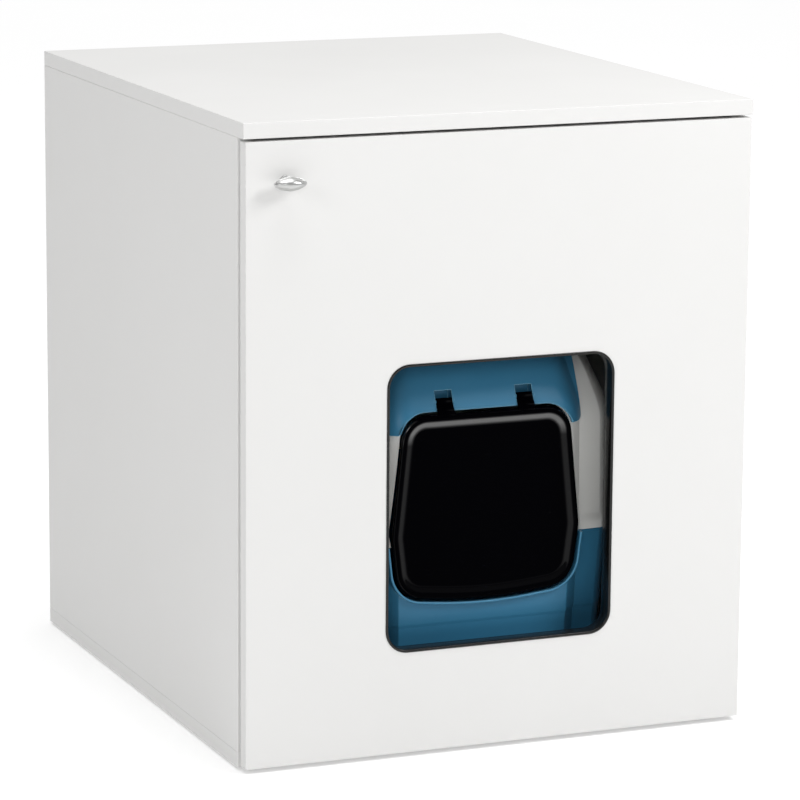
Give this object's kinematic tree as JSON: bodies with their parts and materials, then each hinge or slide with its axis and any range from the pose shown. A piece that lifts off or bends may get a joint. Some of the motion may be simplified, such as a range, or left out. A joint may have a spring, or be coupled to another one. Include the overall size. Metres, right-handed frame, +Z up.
{
  "type": "litter box enclosure",
  "caption": "White cabinet with a side-hung door and a round-cornered cut-out, holding a hooded litter box with a swing flap behind the opening.",
  "frame": {"origin": "on the floor, under the middle of the whole outline, knob included", "axes": "+Z up, +X to the right seen from the front, +Y to the back; the door faces -Y"},
  "size_m": [0.56, 0.6654, 0.663],
  "materials": {
    "white_melamine": "satin white melamine on chipboard, fine grain, sealed edges",
    "white_hardboard": "matt white lacquered hardboard",
    "black_trim": "glossy black extruded plastic",
    "chrome": "polished chrome plating",
    "nickel_steel": "nickel-plated pressed steel",
    "zinc_steel": "bright zinc plating",
    "beech": "fluted beech",
    "white_nylon": "matt nylon",
    "clear_bumper": "soft clear polymer",
    "blue_plastic": "semi-gloss moulded polypropylene, blue",
    "grey_plastic": "semi-gloss moulded polypropylene, light grey",
    "smoked_flap": "high-gloss smoked plastic, almost black"
  },
  "bodies": {
    "cabinet": {"top_panel": "white_melamine", "bottom_panel": "white_melamine", "left_side_panel": "white_melamine", "right_side_panel": "white_melamine", "back_panel": "white_hardboard", "cam_locks": "zinc_steel", "cam_bolts": "zinc_steel", "wood_dowels": "beech", "floor_glides": "white_nylon", "door_bumpers": "clear_bumper", "upper_hinge_arm": "nickel_steel", "lower_hinge_arm": "nickel_steel", "upper_hinge_plate": "nickel_steel", "lower_hinge_plate": "nickel_steel", "plate_screws": "zinc_steel", "arm_screws": "zinc_steel", "litter_pan": "blue_plastic", "hood_shell": "grey_plastic", "hood_visor": "blue_plastic", "latch_pins": "grey_plastic"},
    "door": {"door_panel": "white_melamine", "opening_trim": "black_trim", "door_knob": "chrome", "knob_screw": "zinc_steel", "upper_hinge_cup": "nickel_steel", "lower_hinge_cup": "nickel_steel", "upper_hinge_pin": "nickel_steel", "lower_hinge_pin": "nickel_steel", "cup_screws": "zinc_steel"},
    "flap": {"entry_flap": "smoked_flap"},
    "left_latch": {"left_latch": "grey_plastic"},
    "right_latch": {"right_latch": "grey_plastic"}
  },
  "joints": [
    {"name": "door_hinge", "type": "hinge", "parent": "cabinet", "child": "door", "pos_m": [0.2713, -0.30475, 0.3245], "axis": [0, 0, 1], "range_deg": [0, 95]},
    {"name": "flap_swing", "type": "hinge", "parent": "cabinet", "child": "flap", "pos_m": [0, -0.2647, 0.36], "axis": [1, 0, 0], "range_deg": [-80, 80]},
    {"name": "left_latch_swing", "type": "hinge", "parent": "cabinet", "child": "left_latch", "pos_m": [-0.196, -0.03925, 0.238], "axis": [0, 1, 0], "range_deg": [0, 70]},
    {"name": "right_latch_swing", "type": "hinge", "parent": "cabinet", "child": "right_latch", "pos_m": [0.196, -0.03925, 0.238], "axis": [0, -1, 0], "range_deg": [0, 70]}
  ]
}
